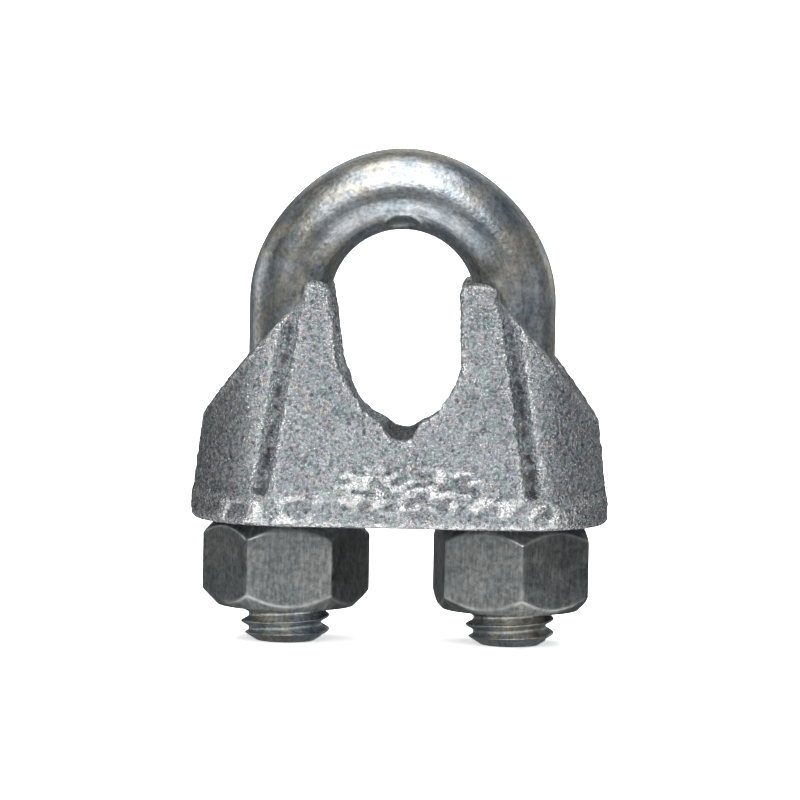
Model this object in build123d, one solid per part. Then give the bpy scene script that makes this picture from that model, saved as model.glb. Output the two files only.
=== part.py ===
from build123d import *
import math
import os

# Wire rope clip for 10 mm rope: a U-bolt with two threaded legs, a cast saddle and two hex nuts.
# Millimetres and degrees. +Z is up, X runs from leg to leg and Y along the rope. The clip stands
# on its stud ends at z = 0, and the crown of the U-bolt is its highest point.

# ---- U-bolt ----
ROD_DIAMETER = 7.2
LEG_SPACING = 20.0
OVERALL_HEIGHT = 44.0
THREADED_LENGTH = 17.0
STUD_POINT_INSET = 0.65
STUD_POINT_HEIGHT = 0.85

# ---- M8 thread, right-hand, rolled: its crests stand above the rod and its roots are pressed in ----
PITCH = 1.25
CREST_RISE = 0.35
ROOT_DROP = 0.35
FLANK_ANGLE = 30.0

# ---- nuts ----
NUT_ACROSS_FLATS = 13.0
NUT_HEIGHT = 7.7
NUT_FACE_INSET = 0.4
NUT_CHAMFER_ANGLE = 45.0
NUT_COUNTERSINK = 0.45
STUD_PROTRUSION = 3.2
LEFT_NUT_FACING = -85.0
RIGHT_NUT_FACING = -111.0

# ---- saddle ----
BASE_DEPTH = 17.0
BASE_BAND = 2.55
BASE_ROUND = 0.4
BOSS_STEP = 0.15
BOSS_DRAFT = 6.5
SHOULDER_RISE = 9.2
SHOULDER_BULGE = 0.3
WEB_BASE_WIDTH = 23.2
HORN_RISE = 21.5
HORN_TIP_WIDTH = 2.8
HORN_TIP_DEPTH = 13.4
HORN_TIP_ROUND = 0.9
HORN_SIDE_HEIGHT = 1.4
GROOVE_RADIUS = 0.75
GROOVE_OFFSET = 0.5
CHANNEL_WIDTH = 6.6
CHANNEL_FLOOR_RISE = 12.9
SEAT_RADIUS = 4.9
SEAT_FLOOR_RISE = 8.2
SEAT_WALL_FLARE = 16.6
SEAT_KNEE_RISE = 14.1
SEAT_MOUTH_FLARE = 0.85
SEAT_RELIEF_RADIUS = 2.0
SEAT_RELIEF_DEPTH = 0.5

# ---- clearances ----
LEG_CLEARANCE = 0.8
FLANK_CLEARANCE = 0.07
CREST_CLEARANCE = 0.11
ROOT_CLEARANCE = 0.13

# ---- places and sizes that follow from the values above ----
LEG_X = LEG_SPACING / 2
ROD_RADIUS = ROD_DIAMETER / 2
CREST_RADIUS = ROD_RADIUS + CREST_RISE
ROOT_RADIUS = ROD_RADIUS - ROOT_DROP
LEG_HOLE_RADIUS = CREST_RADIUS + LEG_CLEARANCE / 2
ARC_Z = OVERALL_HEIGHT - ROD_RADIUS - LEG_X
NUT_Z = STUD_PROTRUSION
SADDLE_Z = NUT_Z + NUT_HEIGHT
BAND_Z = SADDLE_Z + BASE_BAND
HORN_Z = SADDLE_Z + HORN_RISE
SHOULDER_Z = SADDLE_Z + SHOULDER_RISE
BASE_LENGTH = LEG_SPACING + BASE_DEPTH
BOSS_RADIUS = BASE_DEPTH / 2 - BOSS_STEP
SEAT_CENTRE_Z = SADDLE_Z + SEAT_FLOOR_RISE + SEAT_RADIUS
SEAT_MOUTH_X = SEAT_RADIUS + SEAT_MOUTH_FLARE
SIDES = (-1, 1)

NUT_BORE_RADIUS = ROOT_RADIUS + ROOT_CLEARANCE
NUT_MOUTH_RADIUS = CREST_RADIUS + CREST_CLEARANCE + NUT_COUNTERSINK / 2

# how far a cutting body reaches past what it cuts
OVERCUT = 1.0

# how far one radius is kept inside another where a thread meets a cone or the plain shank
SUNK = 0.1

# points along each spiral flank of the thread's section
FLANK_STEPS = 6


def slope(angle):
    """Sideways run for each millimetre of rise, at an angle from the vertical."""
    return math.tan(math.radians(angle))


def boss_radius(z):
    """Radius of a boss at height z: it narrows upwards by its casting draft."""
    return BOSS_RADIUS - (z - BAND_Z) * slope(BOSS_DRAFT)


def web_half_width(z):
    """Half the width of the saddle's middle web at height z, seen along the rope."""
    foot = WEB_BASE_WIDTH / 2
    tip = SEAT_MOUTH_X + HORN_TIP_WIDTH
    return foot + (tip - foot) * (z - BAND_Z) / (HORN_Z - BAND_Z)


def web_half_depth(z):
    """Half the depth of the web at height z, seen across the rope."""
    foot = BASE_DEPTH / 2
    tip = HORN_TIP_DEPTH / 2
    return foot + (tip - foot) * (z - BAND_Z) / (HORN_Z - BAND_Z)


# ---- thread ----
def ridge_half_angle(radius, gap):
    """Half the angle that the basic ridge covers on a circle, less the axial gap on each flank."""
    half_width = PITCH / 4 - (radius - ROD_RADIUS) * slope(FLANK_ANGLE) - gap
    return 360 * half_width / PITCH


def thread_section(root_radius, crest_radius, gap):
    """The thread cut square across its axis: a root arc, two spiral flanks and a crest arc at +X."""
    root_angle = ridge_half_angle(root_radius, gap)
    crest_angle = ridge_half_angle(crest_radius, gap)
    rising = []
    for i in range(FLANK_STEPS + 1):
        share = i / FLANK_STEPS
        radius = root_radius + (crest_radius - root_radius) * share
        angle = math.radians(root_angle + (crest_angle - root_angle) * share)
        rising.append(Vector(radius * math.cos(angle), -radius * math.sin(angle)))
    falling = [Vector(point.X, -point.Y) for point in reversed(rising)]
    return make_face(
        Spline(*rising)
        + ThreePointArc(rising[-1], (crest_radius, 0), falling[0])
        + Spline(*falling)
        + ThreePointArc(falling[-1], (-root_radius, 0), rising[0])
    )


def threaded_rod(root_radius, crest_radius, gap, bottom, top):
    """A right-hand thread from height bottom to top, whose crest is at +X where z = 0."""
    turn = 360 / PITCH
    section = Pos(0, 0, bottom) * Rot(0, 0, turn * bottom) * thread_section(root_radius, crest_radius, gap)
    height = top - bottom
    return Solid.extrude_linear_with_rotation(section.face(), (0, 0, bottom), (0, 0, height), turn * height)


def turned(profile):
    """The solid of revolution about Z of a closed outline of (radius, z) points."""
    return revolve(make_face(Polyline([(r, 0, z) for r, z in profile], close=True)), Axis.Z)


# ---- U-bolt ----
def stud_thread(bottom, top):
    """A stretch of the stud's thread, measured from the plane where its crest is at +X."""
    return threaded_rod(ROOT_RADIUS, CREST_RADIUS, FLANK_CLEARANCE / 2, bottom, top)


def thread_end(plane_z, inward, end_radius, length):
    """One pitch of thread next to plane_z, coned from the crest down to end_radius at that plane."""
    bottom, top = sorted((plane_z, plane_z + inward * PITCH))
    cone = turned([
        (0, plane_z),
        (end_radius, plane_z),
        (CREST_RADIUS, plane_z + inward * length),
        (CREST_RADIUS + SUNK, plane_z + inward * length),
        (CREST_RADIUS + SUNK, plane_z + inward * PITCH),
        (0, plane_z + inward * PITCH),
    ])
    return stud_thread(bottom, top) & cone


def leg(nut_facing):
    """One leg from its pointed tip to the start of the bend, with its thread in step with the nut's."""
    tip = -NUT_Z
    runout = THREADED_LENGTH - NUT_Z
    run_radius = ROD_RADIUS - SUNK
    shank_top = ARC_Z - NUT_Z
    shank = turned([(0, runout), (ROD_RADIUS, runout), (ROD_RADIUS, shank_top), (0, shank_top)])
    body = shank + thread_end(runout, -1, run_radius, CREST_RADIUS - run_radius)
    body += stud_thread(tip + PITCH, runout - PITCH)
    body += thread_end(tip, 1, ROOT_RADIUS - STUD_POINT_INSET, STUD_POINT_HEIGHT)
    return Pos(0, 0, NUT_Z) * Rot(0, 0, nut_facing) * body


def crown():
    """The half-ring that joins the two legs."""
    section = Pos(LEG_X, 0, ARC_Z) * Circle(ROD_RADIUS)
    return revolve(section, Axis((0, 0, ARC_Z), (0, -1, 0)), revolution_arc=180)


def u_bolt():
    return (
        crown()
        + Pos(-LEG_X, 0, 0) * leg(LEFT_NUT_FACING)
        + Pos(LEG_X, 0, 0) * leg(RIGHT_NUT_FACING)
    )


# ---- nut ----
def nut_blank():
    """A hexagonal prism with both ends chamfered, one flat facing +X."""
    prism = extrude(RegularPolygon(NUT_ACROSS_FLATS / 2, 6, major_radius=False, rotation=30), NUT_HEIGHT)
    face_radius = NUT_ACROSS_FLATS / 2 - NUT_FACE_INSET
    corner_radius = NUT_ACROSS_FLATS / math.sqrt(3)
    chamfer = (corner_radius - face_radius) * slope(NUT_CHAMFER_ANGLE)
    return prism & turned([
        (0, 0),
        (face_radius, 0),
        (corner_radius, chamfer),
        (corner_radius, NUT_HEIGHT - chamfer),
        (face_radius, NUT_HEIGHT),
        (0, NUT_HEIGHT),
    ])


def countersink(face_z, inward):
    """The cone that opens one end of the bore."""
    depth = NUT_MOUTH_RADIUS - NUT_BORE_RADIUS
    return turned([
        (0, face_z),
        (NUT_MOUTH_RADIUS, face_z),
        (NUT_BORE_RADIUS, face_z + inward * depth),
        (0, face_z + inward * depth),
    ])


def hex_nut():
    """One nut, standing on z = 0, with a thread groove that starts at the middle of its +X flat."""
    groove_radius = CREST_RADIUS + CREST_CLEARANCE
    tap = threaded_rod(NUT_BORE_RADIUS, groove_radius, -FLANK_CLEARANCE / 2, -PITCH, NUT_HEIGHT + PITCH)
    return nut_blank() - tap - countersink(0, 1) - countersink(NUT_HEIGHT, -1)


# ---- saddle ----
def base_plate():
    plan = SlotOverall(BASE_LENGTH, BASE_DEPTH)
    plate = Pos(0, 0, SADDLE_Z) * extrude(plan, BASE_BAND)
    return fillet(plate.faces().sort_by(Axis.Z)[0].edges(), BASE_ROUND)


def boss(side):
    """The drafted round body about one leg."""
    top = HORN_Z + OVERCUT
    cone = Cone(BOSS_RADIUS, boss_radius(top), top - BAND_Z, align=(Align.CENTER, Align.CENTER, Align.MIN))
    return Pos(side * LEG_X, 0, BAND_Z) * cone


def wedge(plane, half_width_at):
    """A block with leaning sides, from the base band to above the horns, pushed square to plane."""
    top = HORN_Z + OVERCUT
    low = half_width_at(BAND_Z)
    high = half_width_at(top)
    view = make_face(Polyline([(-low, BAND_Z), (low, BAND_Z), (high, top), (-high, top)], close=True))
    return extrude(plane * view, BASE_LENGTH, both=True)


def web():
    """The middle of the saddle: it narrows upwards both along and across the rope."""
    return wedge(Plane.XZ, web_half_width) & wedge(Plane.YZ, web_half_depth)


def seat_section():
    """The rope's place: a round floor with a relief groove, walls that flare, then a straight mouth."""
    tangent_x = SEAT_RADIUS * math.cos(math.radians(SEAT_WALL_FLARE))
    tangent_z = SEAT_CENTRE_Z - SEAT_RADIUS * math.sin(math.radians(SEAT_WALL_FLARE))
    knee_z = SADDLE_Z + SEAT_KNEE_RISE
    knee_x = tangent_x + (knee_z - tangent_z) * slope(SEAT_WALL_FLARE)
    walls = Polyline([
        (tangent_x, tangent_z),
        (knee_x, knee_z),
        (SEAT_MOUTH_X, HORN_Z),
        (-SEAT_MOUTH_X, HORN_Z),
        (-knee_x, knee_z),
        (-tangent_x, tangent_z),
    ])
    floor_z = SEAT_CENTRE_Z - SEAT_RADIUS
    floor = ThreePointArc((-tangent_x, tangent_z), (0, floor_z), (tangent_x, tangent_z))
    relief = Pos(0, floor_z - SEAT_RELIEF_DEPTH + SEAT_RELIEF_RADIUS) * Circle(SEAT_RELIEF_RADIUS)
    return make_face(walls + floor) + relief


def front_silhouette():
    """The saddle seen along the rope: sloping shoulders that end at two horns, and the seat."""
    low = Vector(LEG_X + boss_radius(SHOULDER_Z), SHOULDER_Z)
    high = Vector(web_half_width(HORN_Z), HORN_Z - HORN_SIDE_HEIGHT)
    along = (high - low).normalized()
    middle = (low + high) / 2 + Vector(along.Y, -along.X) * SHOULDER_BULGE
    below = SADDLE_Z - OVERCUT
    outside = low - along * (BASE_LENGTH / 2 + OVERCUT - low.X) / -along.X
    half = (
        Polyline([(0, below), (outside.X, below), outside, low])
        + ThreePointArc(low, middle, high)
        + Polyline([high, (high.X, HORN_Z), (0, HORN_Z), (0, below)])
    )
    right = make_face(half)
    view = right + mirror(right, Plane.YZ) - seat_section()
    view = fillet(view.vertices().group_by(Axis.Y)[-1], HORN_TIP_ROUND)
    return extrude(Plane.XZ * view, BASE_DEPTH, both=True)


def side_groove(side, face):
    """A round-bottomed groove between the web and a boss, from the base band to the horn tip."""
    low_x = web_half_width(BAND_Z) + GROOVE_OFFSET
    high_x = web_half_width(HORN_Z) + GROOVE_OFFSET
    low_y = math.sqrt(BOSS_RADIUS ** 2 - (low_x - LEG_X) ** 2)
    high_y = math.sqrt(boss_radius(HORN_Z) ** 2 - (high_x - LEG_X) ** 2)
    low = Vector(side * low_x, face * low_y, BAND_Z + GROOVE_RADIUS / 2)
    high = Vector(side * high_x, face * high_y, HORN_Z)
    start = Plane(origin=low, z_dir=high - low)
    return extrude(start * Circle(GROOVE_RADIUS), (high - low).length)


def leg_hole(side):
    height = HORN_RISE + 2 * OVERCUT
    hole = Cylinder(LEG_HOLE_RADIUS, height, align=(Align.CENTER, Align.CENTER, Align.MIN))
    return Pos(side * LEG_X, 0, SADDLE_Z - OVERCUT) * hole


def horn_channel():
    """The round-bottomed slot that opens both leg holes towards the rope, above the seat walls."""
    radius = CHANNEL_WIDTH / 2
    floor_z = SADDLE_Z + CHANNEL_FLOOR_RISE
    top = HORN_Z + OVERCUT
    slot = Pos(0, (floor_z + radius + top) / 2) * Rectangle(CHANNEL_WIDTH, top - floor_z - radius)
    section = slot + Pos(0, floor_z + radius) * Circle(radius)
    return extrude(Plane.YZ * section, LEG_X, both=True)


def saddle():
    body = base_plate() + web()
    for side in SIDES:
        body += boss(side)
    body = body & front_silhouette()
    for side in SIDES:
        for face in SIDES:
            body -= side_groove(side, face)
        body -= leg_hole(side)
    return body - horn_channel()


# ---- the four pieces ----
def placed_nut(side, facing):
    return Pos(side * LEG_X, 0, NUT_Z) * Rot(0, 0, facing) * hex_nut()


def main():
    nodes = {
        "u_bolt": u_bolt(),
        "saddle": saddle(),
        "hex_nut_left": placed_nut(-1, LEFT_NUT_FACING),
        "hex_nut_right": placed_nut(1, RIGHT_NUT_FACING),
    }
    os.makedirs("parts", exist_ok=True)
    for name, shape in nodes.items():
        export_step(shape, f"parts/{name}.step")


main()
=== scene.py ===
import math

import bpy
import numpy as np
from mathutils import Matrix, Vector, noise

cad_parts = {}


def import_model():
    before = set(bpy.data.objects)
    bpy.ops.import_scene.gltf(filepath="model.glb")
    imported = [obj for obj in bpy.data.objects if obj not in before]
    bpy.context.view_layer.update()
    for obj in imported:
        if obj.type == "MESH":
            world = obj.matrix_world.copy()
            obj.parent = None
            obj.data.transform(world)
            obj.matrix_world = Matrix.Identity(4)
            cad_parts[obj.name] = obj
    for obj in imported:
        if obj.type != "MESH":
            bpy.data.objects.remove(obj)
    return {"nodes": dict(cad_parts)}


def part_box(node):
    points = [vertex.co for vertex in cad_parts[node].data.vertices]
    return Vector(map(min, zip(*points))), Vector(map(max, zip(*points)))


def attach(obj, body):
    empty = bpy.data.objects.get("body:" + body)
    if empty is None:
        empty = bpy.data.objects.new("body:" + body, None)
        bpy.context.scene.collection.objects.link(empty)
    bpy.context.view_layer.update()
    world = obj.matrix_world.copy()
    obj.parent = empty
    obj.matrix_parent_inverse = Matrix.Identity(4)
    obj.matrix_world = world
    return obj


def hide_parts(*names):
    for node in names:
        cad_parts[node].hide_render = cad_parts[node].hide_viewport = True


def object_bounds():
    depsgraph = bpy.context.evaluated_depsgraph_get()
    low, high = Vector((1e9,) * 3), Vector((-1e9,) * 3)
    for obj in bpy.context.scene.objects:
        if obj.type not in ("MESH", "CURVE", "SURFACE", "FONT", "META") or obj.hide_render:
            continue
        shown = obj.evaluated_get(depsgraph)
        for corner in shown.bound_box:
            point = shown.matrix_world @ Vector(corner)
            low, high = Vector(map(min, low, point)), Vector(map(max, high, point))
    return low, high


# Wire rope clip: the looks of its four pieces, a plain floor, studio light and the camera.
# Sizes are written in millimetres and become metres where a mesh is made.

MM = 0.001

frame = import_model()
cad_low, cad_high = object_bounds()

# ---- sizes shared with the CAD pieces ----
LEG_X = 10.0
ROD_RADIUS = 3.6
TOP_Z = cad_high.z / MM
ARC_Z = TOP_Z - ROD_RADIUS - LEG_X
PITCH = 1.25
PITCH_RADIUS = 3.594
CREST_RADIUS = 3.95
ROOT_RADIUS = 3.25
FLANK_GAP = 0.035
RUNOUT_Z = 17.0
RUNOUT_RADIUS = 3.5
POINT_RADIUS = 2.6
POINT_HEIGHT = 0.85
NUT_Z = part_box("hex_nut_left")[0].z / MM
NUT_TOP_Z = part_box("hex_nut_left")[1].z / MM
NUT_FLAT_RADIUS = 6.5
NUT_CORNER_RADIUS = 7.44
NUT_FACE_RADIUS = 6.1
NUT_BORE_RADIUS = 3.38
NUT_GROOVE_RADIUS = 4.06
NUT_COUNTERSINK_RADIUS = 4.28
LEG_HOLE_RADIUS = 4.35
NUT_FACINGS = {"left": (-1, -85.0), "right": (1, -111.0)}
SADDLE_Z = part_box("saddle")[0].z / MM
HORN_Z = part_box("saddle")[1].z / MM
BAND_Z = SADDLE_Z + 2.55
SEAT_Z = SADDLE_Z + 8.2
SEAT_RADIUS = 4.9
GROOVE_FOOT_X = 12.1
GROOVE_TIP_X = 9.05

# ---- sizes of the looks alone ----
THREAD_STEP = 0.055
EDGE_ROUND = 0.12
BEND_FLATTENING = 0.32
DENT_DEPTH = 0.30
DENT_RIM = 0.11
CAST_VOXEL = 0.225
FLASH_HEIGHT = 0.34
BAND_LIP_HEIGHT = 0.22
MARK_HEIGHT = 0.30
SEAT_LIP_SHARE = 0.85

WHITE = (1.0, 1.0, 1.0)


# ---- meshes ----
def skin(name, rings, closed, columns_uv, rows_uv):
    """A mesh over closed rings of points, with lengths in millimetres as its UV map."""
    rings = np.asarray(rings, dtype=float)
    rows, columns, _ = rings.shape
    spans = rows if closed else rows - 1
    i, j = np.meshgrid(np.arange(spans), np.arange(columns), indexing="ij")
    i, j = i.ravel(), j.ravel()
    i2, j2 = (i + 1) % rows, (j + 1) % columns
    faces = np.stack([i * columns + j, i * columns + j2, i2 * columns + j2, i2 * columns + j], axis=1)
    mesh = bpy.data.meshes.new(name)
    mesh.from_pydata((rings.reshape(-1, 3) * MM).tolist(), [], faces.tolist())
    uv = mesh.uv_layers.new(name="along")
    u = np.stack([rows_uv[i], rows_uv[i], rows_uv[i + 1], rows_uv[i + 1]], axis=1)
    v = np.stack([columns_uv[j], columns_uv[j + 1], columns_uv[j + 1], columns_uv[j]], axis=1)
    uv.data.foreach_set("uv", np.stack([u, v], axis=2).ravel())
    mesh.polygons.foreach_set("use_smooth", np.ones(len(faces), dtype=bool))
    mesh.update()
    piece = bpy.data.objects.new(name, mesh)
    bpy.context.collection.objects.link(piece)
    return piece


def ridge_radius(height, turn, root, crest, gap):
    """Radius of a 60 degree right-hand thread, with softened edges, where height is from the start."""
    offset = height / PITCH - turn
    total = 0.0
    for shift in (-0.05, -0.025, 0.0, 0.025, 0.05):
        away = np.abs((offset + shift + 0.5) % 1.0 - 0.5) * PITCH
        flank = PITCH_RADIUS + (PITCH / 4 - gap - away) / math.tan(math.radians(30))
        total = total + np.clip(flank, root, crest)
    return total / 5


def soft_least(a, b, width):
    """The smaller of two values, with the corner between them rounded over width."""
    blend = np.clip(0.5 + 0.5 * (b - a) / width, 0.0, 1.0)
    return b * (1 - blend) + a * blend - width * blend * (1 - blend)


def store(piece, name, values):
    """Keep one number for each vertex, for the materials to read."""
    piece.data.attributes.new(name, "FLOAT", "POINT").data.foreach_set("value", values)


# ---- U-bolt ----
def forming_dent(x, section_angle):
    """Depth of the lens-shaped mark that the bending tool left on the inner front of the crown."""
    across = (x + 0.1) / 2.0
    around = (section_angle - math.radians(-36)) / math.radians(15)
    inside = 1 - across ** 2 - around ** 2
    rim = DENT_RIM * np.exp(-((inside + 0.2) / 0.2) ** 2)
    return DENT_DEPTH * np.clip(inside, 0, 1) ** 0.8 - rim


def u_bolt_rings():
    """Rings from the left stud's end, over the crown, to the right stud's end."""
    columns = 96
    angle = np.arange(columns) * 2 * math.pi / columns
    stud = list(np.arange(0, RUNOUT_Z, THREAD_STEP)) + [RUNOUT_Z]
    shank = list(np.linspace(RUNOUT_Z, ARC_Z, 46)[1:])
    rings = []
    lengths = []

    def upright(side, z, scale=1.0):
        world = angle if side < 0 else math.pi - angle
        if z < RUNOUT_Z:
            facing = math.radians(NUT_FACINGS["left" if side < 0 else "right"][1])
            turn = (world - facing) / (2 * math.pi)
            radius = ridge_radius(z - NUT_Z, turn, ROOT_RADIUS, CREST_RADIUS, FLANK_GAP)
            point = POINT_RADIUS + (CREST_RADIUS - POINT_RADIUS) * z / POINT_HEIGHT
            radius = soft_least(radius, np.full(columns, point), EDGE_ROUND)
            radius = np.minimum(radius, RUNOUT_RADIUS + RUNOUT_Z - z)
        else:
            radius = np.full(columns, ROD_RADIUS)
        x = side * LEG_X + scale * radius * np.cos(world)
        y = scale * radius * np.sin(world)
        return np.stack([x, y, np.full(columns, z)], axis=1)

    for share in (0.02, 0.3, 0.55, 0.8, 0.95):
        rings.append(upright(-1, 0.0, share))
        lengths.append(-POINT_RADIUS * (1 - share))
    for z in stud + shank:
        rings.append(upright(-1, z))
        lengths.append(z)
    turns = 132
    for step in range(1, turns):
        around = math.pi * step / turns
        tangent_x, inward = math.cos(around), math.sin(around)
        centre = np.array([-LEG_X * tangent_x, 0.0, ARC_Z + LEG_X * inward])
        to_middle = np.array([tangent_x, 0.0, -inward])
        signed = (angle + math.pi) % (2 * math.pi) - math.pi
        outer_side = np.clip(-np.cos(angle), 0, 1)
        radius = ROD_RADIUS - forming_dent(centre[0], signed)
        radius = radius - BEND_FLATTENING * math.sin(2 * around) ** 2 * outer_side
        point = centre + np.outer(radius * np.cos(angle), to_middle)
        point[:, 1] += radius * np.sin(angle)
        rings.append(point)
        lengths.append(ARC_Z + LEG_X * around)
    over = ARC_Z + LEG_X * math.pi
    for z in reversed(stud + shank):
        rings.append(upright(1, z))
        lengths.append(over + ARC_Z - z)
    for share in (0.95, 0.8, 0.55, 0.3, 0.02):
        rings.append(upright(1, 0.0, share))
        lengths.append(over + ARC_Z + POINT_RADIUS * (1 - share))
    return rings, np.array(lengths), np.linspace(0, 2 * math.pi * ROD_RADIUS, columns + 1)


def u_bolt():
    rings, lengths, girth = u_bolt_rings()
    return skin("u_bolt_plated", rings, False, girth, lengths)


# ---- nuts ----
def nut_columns():
    """Directions round the nut, from the middle of a flat, closer together near the corners."""
    half = np.linspace(-1, 1, 41)[:-1]
    sector = 30 * np.sin(half * math.pi / 2)
    return np.concatenate([60 * k + sector for k in range(6)])


def hex_nut(name, side, facing):
    """A chamfered hexagon with a threaded bore, skinned from the bore round to the outside."""
    local = nut_columns()
    world = np.radians(local + facing)
    flat = np.radians((local + 30) % 60 - 30)
    hexagon = soft_least(NUT_FLAT_RADIUS / np.cos(flat), np.full(len(local), NUT_CORNER_RADIUS), EDGE_ROUND)
    height = NUT_TOP_Z - NUT_Z
    rings = []
    lengths = []
    wear_and_highlight = []

    def add(radius, z, edge=0.0):
        x = side * LEG_X + radius * np.cos(world)
        rings.append(np.stack([x, radius * np.sin(world), np.full(len(local), NUT_Z + z)], axis=1))
        lengths.append(z)
        wear_and_highlight.append(np.zeros(len(local)) + edge)

    def wear_and_highlight_at(z):
        """How far the zinc is rubbed through, with painted highlight: most along the chamfer's arcs, less
        down the corners.
        """
        face = min(z, height - z)
        rim = np.exp(-((hexagon - NUT_FACE_RADIUS - face) / 0.16) ** 2)
        corner = np.exp(-((np.abs(np.degrees(flat)) - 30) / 1.3) ** 2)
        return np.maximum(0.42 * rim, 0.22 * corner)

    def outside(z):
        face = min(z, height - z)
        return soft_least(hexagon, np.full(len(local), NUT_FACE_RADIUS + face), 0.16)

    def bore(z):
        radius = ridge_radius(z, local / 360, NUT_BORE_RADIUS, NUT_GROOVE_RADIUS, -FLANK_GAP)
        face = min(z, height - z)
        return np.maximum(radius, NUT_COUNTERSINK_RADIUS - face)

    for z in np.arange(0, height + 0.001, height / 120):
        add(bore(z), z)
    for share in (0.2, 0.6, 0.9):
        add(bore(height) * (1 - share) + outside(height) * share, height)
    edge = 0.03 + 1.62 * np.linspace(0, 1, 26)
    up = np.concatenate([[0.0], edge, np.linspace(1.9, height - 1.9, 8), height - edge[::-1], [height]])
    for z in up[::-1]:
        add(outside(z), z, wear_and_highlight_at(z))
    for share in (0.9, 0.6, 0.2):
        add(bore(0) * (1 - share) + outside(0) * share, 0.0)
    lengths.append(0.0)
    girth = np.concatenate([local, [local[0] + 360]]) * math.pi / 180 * NUT_FLAT_RADIUS
    nut = skin(name, rings, True, girth, np.array(lengths))
    store(nut, "wear_and_highlight", np.concatenate(wear_and_highlight))
    return nut


# ---- saddle ----
def remeshed_copy(node, name, voxel):
    """A new object with an even mesh over a CAD node's shape."""
    copy = bpy.data.objects.new(name, frame["nodes"][node].data.copy())
    bpy.context.collection.objects.link(copy)
    remesh = copy.modifiers.new("even", "REMESH")
    remesh.mode = "VOXEL"
    remesh.voxel_size = voxel * MM
    even = bpy.data.meshes.new_from_object(copy.evaluated_get(bpy.context.evaluated_depsgraph_get()))
    copy.modifiers.clear()
    copy.data = even
    return copy


def smoothed(points, edges, passes, weight):
    """Points moved towards the mean of their neighbours, as far as each point's weight allows."""
    count = np.bincount(edges.ravel(), minlength=len(points))[:, None]
    for _ in range(passes):
        total = np.zeros_like(points)
        np.add.at(total, edges[:, 0], points[edges[:, 1]])
        np.add.at(total, edges[:, 1], points[edges[:, 0]])
        points = points + (total / count - points) * weight[:, None]
    return points


def hump(value, low, high, fade):
    """1 between low and high, falling smoothly to 0 over fade on either side."""
    rise = np.clip((value - low) / fade + 1, 0, 1)
    fall = np.clip((high - value) / fade + 1, 0, 1)
    return (rise * rise * (3 - 2 * rise)) * (fall * fall * (3 - 2 * fall))


def noise_at(points, scale, seed):
    """Smooth noise about 0 at each point, with lumps about 1 / scale millimetres across."""
    moved = points * scale + seed
    return np.array([noise.noise(Vector(p)) for p in moved])


def groove_nearness(points):
    """1 along the middle of the grooves beside the web, falling to 0 at their edges and ends."""
    x, z = np.abs(points[:, 0]), points[:, 2]
    rise = (z - BAND_Z) / (HORN_Z - BAND_Z)
    line = GROOVE_FOOT_X + (GROOVE_TIP_X - GROOVE_FOOT_X) * rise
    width = 0.46 - 0.2 * np.clip(rise, 0, 1)
    return np.exp(-((x - line) / width) ** 2) * hump(z, BAND_Z + 1.2, HORN_Z - 4.5, 3.5)


def cast_relief(points):
    """Heights in millimetres of the sand-cast skin: its grain, and the lumps and flash low down."""
    x, y, z = points.T
    grain = 0.11 * noise_at(points, 1.7, 11.0) + 0.09 * noise_at(points, 3.1, 29.0)
    lumps = noise_at(points, 0.75, 47.0)
    low_band = hump(z, SADDLE_Z + 0.5, SADDLE_Z + 2.0, 0.5) * hump(x, -14.5, 14.5, 2.0)
    flash = FLASH_HEIGHT * low_band * np.clip(lumps * 3.2, -0.25, 1)
    lip = np.exp(-((z - BAND_Z) / 0.32) ** 2) * hump(x, -10.8, 10.8, 0.8) * (np.abs(y) > 7)
    lip = BAND_LIP_HEIGHT * lip * np.clip(0.75 + 1.5 * noise_at(points, 0.9, 61.0), 0.2, 1)
    patch = hump(x, -3.2, 5.6, 3.4) * hump(z, SADDLE_Z + 2.2, SADDLE_Z + 4.5, 1.4) * (y < -6)
    blobs = noise_at(points * [1, 0.4, 1.7], 0.95, 83.0)
    mark = MARK_HEIGHT * patch * np.clip(0.35 + blobs * 3.0, -0.45, 1)
    return grain * (1 - 0.8 * groove_nearness(points)), flash + lip + mark


def leaned(points):
    """The rope opening a little out of true, as cast: its horns lean left and its floor lies right."""
    x, z = points[:, 0], points[:, 2]
    rise = np.clip((z - SEAT_Z) / (HORN_Z - SEAT_Z), 0, 1)
    reach = hump(x, -6.4, 6.4, 2.6) * np.clip((z - BAND_Z - 2) / 3, 0, 1)
    moved = points.copy()
    moved[:, 0] += (0.28 - 0.35 * rise - 0.6 * rise ** 2) * reach
    return moved


def lipped(points):
    """The seat's front edge drawn in towards the rope on both sides of the relief groove."""
    x, y, z = points.T
    centre_z = SEAT_Z + SEAT_RADIUS
    radius = np.hypot(x, z - centre_z)
    forward = np.clip((-y - 3) / 5, 0, 1) ** 2
    beside_notch = 1 - np.exp(-((x + 0.2) / 1.7) ** 4)
    near_seat = np.clip(1 - np.abs(radius - SEAT_RADIUS) / 3, 0, 1)
    low = np.clip((centre_z + 1.0 - z) / 3, 0, 1)
    push = SEAT_LIP_SHARE * forward * beside_notch * near_seat * low / np.maximum(radius, 1)
    moved = points.copy()
    moved[:, 0] -= x * push
    moved[:, 2] -= (z - centre_z) * push
    return moved


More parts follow.
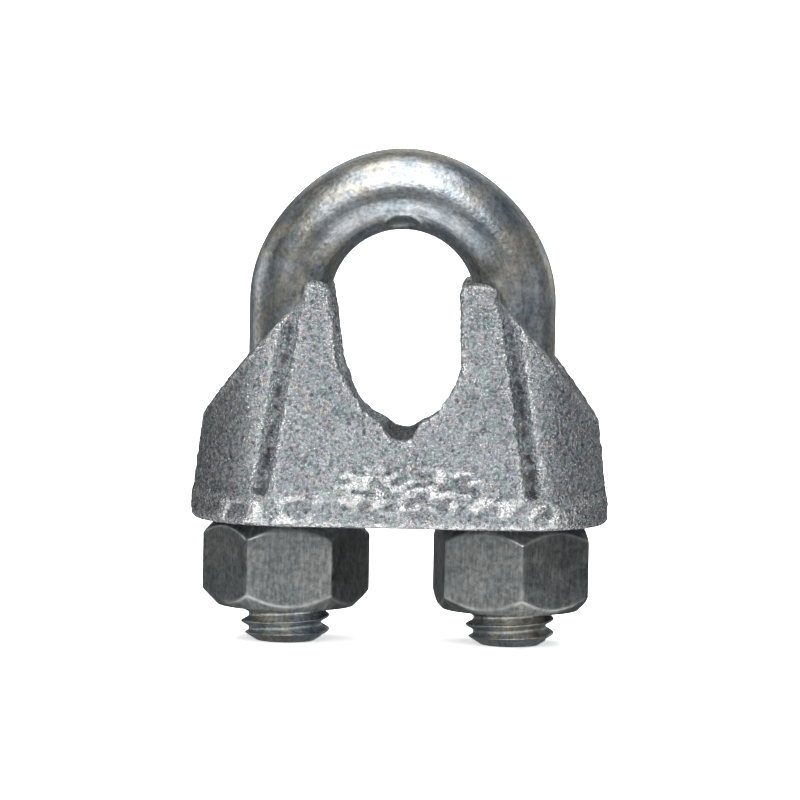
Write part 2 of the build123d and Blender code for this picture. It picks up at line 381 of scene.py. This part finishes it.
def saddle():
    """The casting: CAD shape, edges rounded off, a rough skin, and stored painted shade and painted highlight
    for its material.
    """
    piece = remeshed_copy("saddle", "saddle_cast", CAST_VOXEL)
    mesh = piece.data
    points = np.empty(len(mesh.vertices) * 3)
    mesh.vertices.foreach_get("co", points)
    points = points.reshape(-1, 3) / MM
    edges = np.empty(len(mesh.edges) * 2, dtype=np.int32)
    mesh.edges.foreach_get("vertices", edges)
    edges = edges.reshape(-1, 2)
    everywhere = np.full(len(points), 0.5)
    points = smoothed(points, edges, 5, everywhere)
    high = hump(points[:, 2], HORN_Z - 2.0, HORN_Z + 1, 1.5)
    points = smoothed(points, edges, 12, 0.55 * high)
    mesh.vertices.foreach_set("co", (points * MM).ravel())
    mesh.update()
    normals = np.empty(len(points) * 3)
    mesh.vertices.foreach_get("normal", normals)
    normals = normals.reshape(-1, 3)
    sunk = smoothed(points, edges, 3, everywhere) - points
    hollow = smoothed((sunk * normals).sum(axis=1)[:, None], edges, 3, everywhere)[:, 0]
    # Painted shade, kept per vertex for the material: darker in hollows, along the grooves beside the web,
    # and inside the rope seat and its notch.
    inside = hump(points[:, 0], -4.9, 4.9, 0.8) * (np.abs(points[:, 1]) < 6.3) * (points[:, 2] > SEAT_Z - 0.6)
    ragged = np.clip(0.8 + 1.1 * noise_at(points, 1.3, 5.0), 0.3, 1)
    painted_shade = np.clip(np.maximum((hollow - 0.02) / 0.06, 0.95 * ragged * groove_nearness(points)), 0, 1)
    notch = hump(points[:, 0], -1.5, 1.1, 0.5)
    painted_shade = np.maximum(painted_shade, (0.15 + 0.65 * notch) * inside * (np.abs(normals[:, 1]) < 0.6))
    # Painted shade on the flanks as they turn from the light, deeper on the left than on the right.
    flank = np.clip((np.abs(points[:, 0]) - 11.8) / 2.5, 0, 1)
    painted_shade = np.maximum(painted_shade, np.where(points[:, 0] < 0, 0.62, 0.45) * flank)
    grain, lumps = cast_relief(points)
    # Partly edge wear, partly painted highlight: lighter along convex edges and on the raised lumps.
    wear_and_highlight = np.maximum(ragged * np.clip(-hollow / 0.032, 0, 1), 0.75 * np.clip(lumps / 0.2, 0, 1))
    # Painted shade in the dips among the low lumps.
    painted_shade = np.maximum(painted_shade, 0.2 * np.clip(-lumps / 0.15, 0, 1))
    store(piece, "painted_shade", painted_shade)
    store(piece, "wear_and_highlight", wear_and_highlight)
    from_leg = np.hypot(np.abs(points[:, 0]) - LEG_X, points[:, 1])
    open_face = np.clip((from_leg - LEG_HOLE_RADIUS - 0.1) / 0.4, 0, 1)
    above_nuts = np.clip((points[:, 2] - SADDLE_Z - 0.1) / 0.3, 0, 1)
    points = points + normals * ((grain + lumps) * open_face * above_nuts)[:, None]
    mesh.vertices.foreach_set("co", (leaned(lipped(points)) * MM).ravel())
    mesh.polygons.foreach_set("use_smooth", np.ones(len(mesh.polygons), dtype=bool))
    mesh.update()
    return piece


# ---- materials ----
class Nodes:
    """Short calls for building one node material."""

    def __init__(self, name):
        self.material = bpy.data.materials.new(name)
        self.material.use_nodes = True
        self.tree = self.material.node_tree
        self.tree.nodes.clear()
        output = self.add("ShaderNodeOutputMaterial")
        self.shader = self.add("ShaderNodeBsdfPrincipled")
        self.link(self.shader.outputs["BSDF"], output.inputs["Surface"])

    def add(self, kind, **settings):
        node = self.tree.nodes.new(kind)
        for key, value in settings.items():
            setattr(node, key, value)
        return node

    def link(self, source, target):
        self.tree.links.new(source, target)

    def mapped(self, coordinates, scale):
        """Texture coordinates multiplied by scale along each axis."""
        mapping = self.add("ShaderNodeMapping")
        mapping.inputs["Scale"].default_value = scale
        self.link(coordinates, mapping.inputs["Vector"])
        return mapping.outputs["Vector"]

    def noise(self, coordinates, scale, detail=3.0, roughness=0.55):
        texture = self.add("ShaderNodeTexNoise")
        texture.inputs["Scale"].default_value = scale
        texture.inputs["Detail"].default_value = detail
        texture.inputs["Roughness"].default_value = roughness
        self.link(coordinates, texture.inputs["Vector"])
        return texture.outputs["Fac"]

    def ramp(self, value, stops):
        """Colours by value; each stop is (position, (r, g, b))."""
        node = self.add("ShaderNodeValToRGB")
        elements = node.color_ramp.elements
        while len(elements) < len(stops):
            elements.new(0.5)
        for element, (position, colour) in zip(elements, stops):
            element.position = position
            element.color = (*colour, 1.0)
        self.link(value, node.inputs["Fac"])
        return node.outputs["Color"]

    def spread(self, value, low, high, from_low=0.35, from_high=0.65):
        node = self.add("ShaderNodeMapRange")
        node.inputs["From Min"].default_value = from_low
        node.inputs["From Max"].default_value = from_high
        node.inputs["To Min"].default_value = low
        node.inputs["To Max"].default_value = high
        self.link(value, node.inputs["Value"])
        return node.outputs["Result"]

    def mix(self, factor, a, b, blend="MIX"):
        node = self.add("ShaderNodeMix", data_type="RGBA", blend_type=blend)
        if isinstance(factor, float):
            node.inputs["Factor"].default_value = factor
        else:
            self.link(factor, node.inputs["Factor"])
        self.link(a, node.inputs["A"])
        self.link(b, node.inputs["B"])
        return node.outputs["Result"]

    def bump(self, height, distance, strength, under=None):
        node = self.add("ShaderNodeBump")
        node.inputs["Distance"].default_value = distance
        if isinstance(strength, float):
            node.inputs["Strength"].default_value = strength
        else:
            self.link(strength, node.inputs["Strength"])
        self.link(height, node.inputs["Height"])
        if under is not None:
            self.link(under, node.inputs["Normal"])
        return node.outputs["Normal"]

    def finish(self, colour, roughness, normal):
        self.shader.inputs["Metallic"].default_value = 1.0
        self.link(colour, self.shader.inputs["Base Color"])
        self.link(roughness, self.shader.inputs["Roughness"])
        self.link(normal, self.shader.inputs["Normal"])
        return self.material


def rod_material():
    """Bright zinc over drawn rod: long faint draw marks and a thin uneven oil-coloured film."""
    n = Nodes("zinc_on_drawn_rod")
    place = n.add("ShaderNodeTexCoord").outputs["Object"]
    along = n.add("ShaderNodeUVMap", uv_map="along").outputs["UV"]
    film = n.ramp(n.noise(place, 190.0, 4.0), [
        (0.34, (0.52, 0.60, 0.65)),
        (0.46, (0.68, 0.71, 0.72)),
        (0.56, (0.76, 0.72, 0.62)),
        (0.66, (0.64, 0.68, 0.70)),
    ])
    mottle = n.ramp(n.noise(place, 900.0, 5.0, 0.65), [(0.36, (0.64, 0.65, 0.66)), (0.60, WHITE)])
    specks = n.ramp(n.noise(place, 3000.0, 2.0), [(0.38, (0.72, 0.73, 0.75)), (0.56, WHITE)])
    streaks = n.noise(n.mapped(along, (0.22, 1.7, 1.0)), 1.3, 4.0, 0.65)
    streak_tone = n.ramp(streaks, [(0.36, (0.70, 0.72, 0.74)), (0.6, WHITE)])
    colour = n.mix(1.0, n.mix(0.8, film, mottle, "MULTIPLY"), streak_tone, "MULTIPLY")
    colour = n.mix(1.0, colour, specks, "MULTIPLY")
    roughness = n.spread(n.noise(place, 420.0, 2.0), 0.33, 0.42)
    dents = n.bump(n.noise(place, 330.0, 2.0), 0.00012, 0.35)
    normal = n.bump(streaks, 0.00003, 0.5, dents)
    return n.finish(colour, roughness, n.bump(n.noise(place, 2400.0, 3.0), 0.00006, 0.6, normal))


def cast_material():
    """Zinc over a sand casting: coarse sparkling grain with faint colour in it, painted shade in its hollows
    and on its flanks, and edge wear with painted highlight.
    """
    n = Nodes("zinc_on_casting")
    place = n.add("ShaderNodeTexCoord").outputs["Object"]
    cells = n.add("ShaderNodeTexVoronoi")
    cells.inputs["Scale"].default_value = 3800.0
    n.link(place, cells.inputs["Vector"])
    tint = n.ramp(n.noise(place, 1500.0, 3.0), [
        (0.32, (0.62, 0.77, 0.75)),
        (0.44, (0.80, 0.86, 0.84)),
        (0.56, (0.82, 0.83, 0.90)),
        (0.68, (0.93, 0.88, 0.76)),
    ])
    grain = n.noise(place, 3600.0, 3.0, 0.65)
    grain_tone = n.ramp(grain, [
        (0.36, (0.36, 0.37, 0.39)),
        (0.49, (0.86, 0.87, 0.88)),
        (0.60, WHITE),
    ])
    broad = n.ramp(n.noise(place, 130.0, 3.0), [(0.36, (0.80, 0.80, 0.83)), (0.62, WHITE)])
    colour = n.mix(1.0, n.mix(0.95, tint, grain_tone, "MULTIPLY"), broad, "MULTIPLY")
    # Painted shade: the colour darkens towards grey where the saddle stored its shade values.
    painted_shade = n.ramp(n.add("ShaderNodeAttribute", attribute_name="painted_shade").outputs["Fac"], [
        (0.05, WHITE),
        (0.9, (0.22, 0.21, 0.22)),
    ])
    # Partly wear, partly painted highlight: convex edges and lumps turn to a bright tone and lose some of
    # their bump.
    wear_and_highlight = n.add("ShaderNodeAttribute", attribute_name="wear_and_highlight").outputs["Fac"]
    bright = n.ramp(grain, [(0.38, (0.50, 0.50, 0.50)), (0.56, (0.96, 0.96, 0.94))])
    colour = n.mix(wear_and_highlight, n.mix(1.0, colour, painted_shade, "MULTIPLY"), bright)
    roughness = n.spread(n.noise(place, 1800.0, 2.0), 0.14, 0.30)
    keep = n.spread(wear_and_highlight, 1.0, 0.3, 0.0, 0.8)
    pits = n.bump(cells.outputs["Distance"], 0.00030, keep)
    normal = n.bump(grain, 0.00065, keep, pits)
    return n.finish(colour, roughness, normal)


def nut_material():
    """Duller zinc over machined steel: fine upright tool marks and specks on the flats."""
    n = Nodes("zinc_on_nut")
    place = n.add("ShaderNodeTexCoord").outputs["Object"]
    along = n.add("ShaderNodeUVMap", uv_map="along").outputs["UV"]
    marks = n.noise(n.mapped(along, (0.3, 2.6, 1.0)), 1.7, 4.0, 0.6)
    mark_tone = n.ramp(marks, [
        (0.33, (0.21, 0.22, 0.22)),
        (0.5, (0.265, 0.28, 0.275)),
        (0.66, (0.34, 0.35, 0.34)),
    ])
    specks = n.ramp(n.noise(place, 2200.0, 3.0, 0.65), [(0.38, (0.50, 0.50, 0.51)), (0.6, WHITE)])
    cloud = n.ramp(n.noise(place, 260.0, 3.0), [(0.38, (0.82, 0.84, 0.86)), (0.62, (1.0, 0.99, 0.97))])
    colour = n.mix(1.0, n.mix(0.8, mark_tone, specks, "MULTIPLY"), cloud, "MULTIPLY")
    wear_and_highlight = n.add("ShaderNodeAttribute", attribute_name="wear_and_highlight").outputs["Fac"]
    # Partly rubbed-through zinc, partly painted highlight: a lighter tone along the chamfer arcs and corners.
    bare_and_highlight_tone = n.ramp(n.noise(place, 420.0, 4.0), [(0.40, (0.32, 0.33, 0.33)), (0.6, (0.85, 0.85, 0.83))])
    colour = n.mix(wear_and_highlight, colour, bare_and_highlight_tone)
    roughness = n.spread(n.noise(place, 700.0, 3.0), 0.30, 0.50)
    normal = n.bump(marks, 0.00004, 0.6, n.bump(n.noise(place, 1700.0, 3.0), 0.00005, 0.5))
    return n.finish(colour, roughness, normal)


# ---- stage, light and camera ----
def plane(name, centre, width, depth):
    """A flat rectangle that faces up."""
    mesh = bpy.data.meshes.new(name)
    x, y = width / 2, depth / 2
    mesh.from_pydata([(-x, -y, 0), (x, -y, 0), (x, y, 0), (-x, y, 0)], [], [(0, 1, 2, 3)])
    item = bpy.data.objects.new(name, mesh)
    item.location = centre
    bpy.context.collection.objects.link(item)
    return item


def floor():
    """A plain white floor, which mirrors in the metal only as the small card below."""
    item = plane("floor", (0, 0, 0), 6.0, 6.0)
    n = Nodes("floor_white")
    n.shader.inputs["Base Color"].default_value = (0.92, 0.92, 0.92, 1)
    n.shader.inputs["Roughness"].default_value = 0.9
    n.shader.inputs["Specular IOR Level"].default_value = 0.0
    n.shader.inputs["Emission Color"].default_value = (1, 1, 1, 1)
    n.shader.inputs["Emission Strength"].default_value = 0.6
    item.data.materials.append(n.material)
    item.visible_glossy = False
    card = plane("floor_card", (-0.002, -0.0355, 0.00005), 0.062, 0.063)
    grey = Nodes("card_grey")
    grey.shader.inputs["Base Color"].default_value = (0.46, 0.46, 0.46, 1)
    grey.shader.inputs["Roughness"].default_value = 0.9
    card.data.materials.append(grey.material)
    card.visible_camera = False
    card.visible_diffuse = False
    card.visible_shadow = False
    return [item, card]


def softbox(name, azimuth, elevation, distance, width, height, power):
    """A rectangular light aimed at the clip's middle; azimuth 0 is in front and 90 to the right."""
    a, e = math.radians(azimuth), math.radians(elevation)
    away = Vector((math.sin(a) * math.cos(e), -math.cos(a) * math.cos(e), math.sin(e)))
    light = bpy.data.lights.new(name, "AREA")
    light.shape = "RECTANGLE"
    light.size = width
    light.size_y = height
    light.energy = power
    item = bpy.data.objects.new(name, light)
    item.location = Vector((0, 0, 0.024)) + away * distance
    item.rotation_mode = "QUATERNION"
    item.rotation_quaternion = away.to_track_quat("Z", "Y")
    bpy.context.collection.objects.link(item)
    return item


def floor_light(stage_items):
    """An even light from above that falls on the stage only."""
    light = bpy.data.lights.new("floor_light", "SUN")
    light.energy = 8.0
    light.angle = math.radians(70)
    item = bpy.data.objects.new("floor_light", light)
    bpy.context.collection.objects.link(item)
    lit = bpy.data.collections.new("lit_by_floor_light")
    for thing in stage_items:
        lit.objects.link(thing)
    item.light_linking.receiver_collection = lit


def world():
    """White behind the stage, and a dim room in the reflections."""
    surroundings = bpy.data.worlds.new("studio")
    bpy.context.scene.world = surroundings
    surroundings.use_nodes = True
    tree = surroundings.node_tree
    background = tree.nodes["Background"]
    path = tree.nodes.new("ShaderNodeLightPath")
    colour = tree.nodes.new("ShaderNodeMix")
    colour.data_type = "RGBA"
    colour.inputs["A"].default_value = (0.15, 0.155, 0.16, 1)
    colour.inputs["B"].default_value = (1.0, 1.0, 1.0, 1)
    tree.links.new(path.outputs["Is Camera Ray"], colour.inputs["Factor"])
    tree.links.new(colour.outputs["Result"], background.inputs["Color"])


def studio():
    floor_light(floor())
    world()
    softbox("key_front_top", -8, 57, 0.45, 0.42, 0.62, 2.1)
    softbox("flash", 4, 33, 0.50, 0.05, 0.05, 0.30)
    softbox("fill_left", -105, 8, 0.45, 0.20, 0.16, 0.15)
    softbox("fill_right", 66, 8, 0.45, 0.20, 0.16, 0.05)
    softbox("back", 180, 34, 0.45, 0.50, 0.20, 0.20)
    softbox("back_right", 135, 10, 0.45, 0.22, 0.16, 0.08)


def camera():
    """The product view: from the front, slightly right and above, at portrait distance."""
    azimuth, elevation, roll = math.radians(1.6), math.radians(5.0), math.radians(1.0)
    distance = 0.62
    view_width = 0.0711
    target = Vector((-0.0001, 0.0, 0.0216))
    back = Vector((
        math.sin(azimuth) * math.cos(elevation),
        -math.cos(azimuth) * math.cos(elevation),
        math.sin(elevation),
    ))
    data = bpy.data.cameras.new("camera")
    data.sensor_width = 36.0
    data.lens = data.sensor_width * distance / view_width
    data.clip_start = 0.01
    data.clip_end = 20.0
    item = bpy.data.objects.new("camera", data)
    item.location = target + back * distance
    item.rotation_mode = "QUATERNION"
    level = (-back).to_track_quat("-Z", "Y")
    item.rotation_quaternion = level @ Matrix.Rotation(roll, 3, "Z").to_quaternion()
    bpy.context.collection.objects.link(item)
    bpy.context.scene.camera = item


def place(piece, material, body, node, slot):
    """Give a piece its material, its body and the CAD node it stands for; slot is not used."""
    piece.data.materials.clear()
    piece.data.materials.append(material)
    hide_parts(node)
    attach(piece, body)


bolt_finish, cast_finish, nut_finish = rod_material(), cast_material(), nut_material()
place(u_bolt(), bolt_finish, "u_bolt", "u_bolt", "plated_rod")
place(saddle(), cast_finish, "saddle", "saddle", "plated_casting")
for word, (side, facing) in NUT_FACINGS.items():
    nut = hex_nut(f"hex_nut_{word}_plated", side, facing)
    place(nut, nut_finish, f"{word}_nut", f"hex_nut_{word}", "plated_nut")

studio()
camera()
bpy.context.scene.view_settings.view_transform = "Standard"
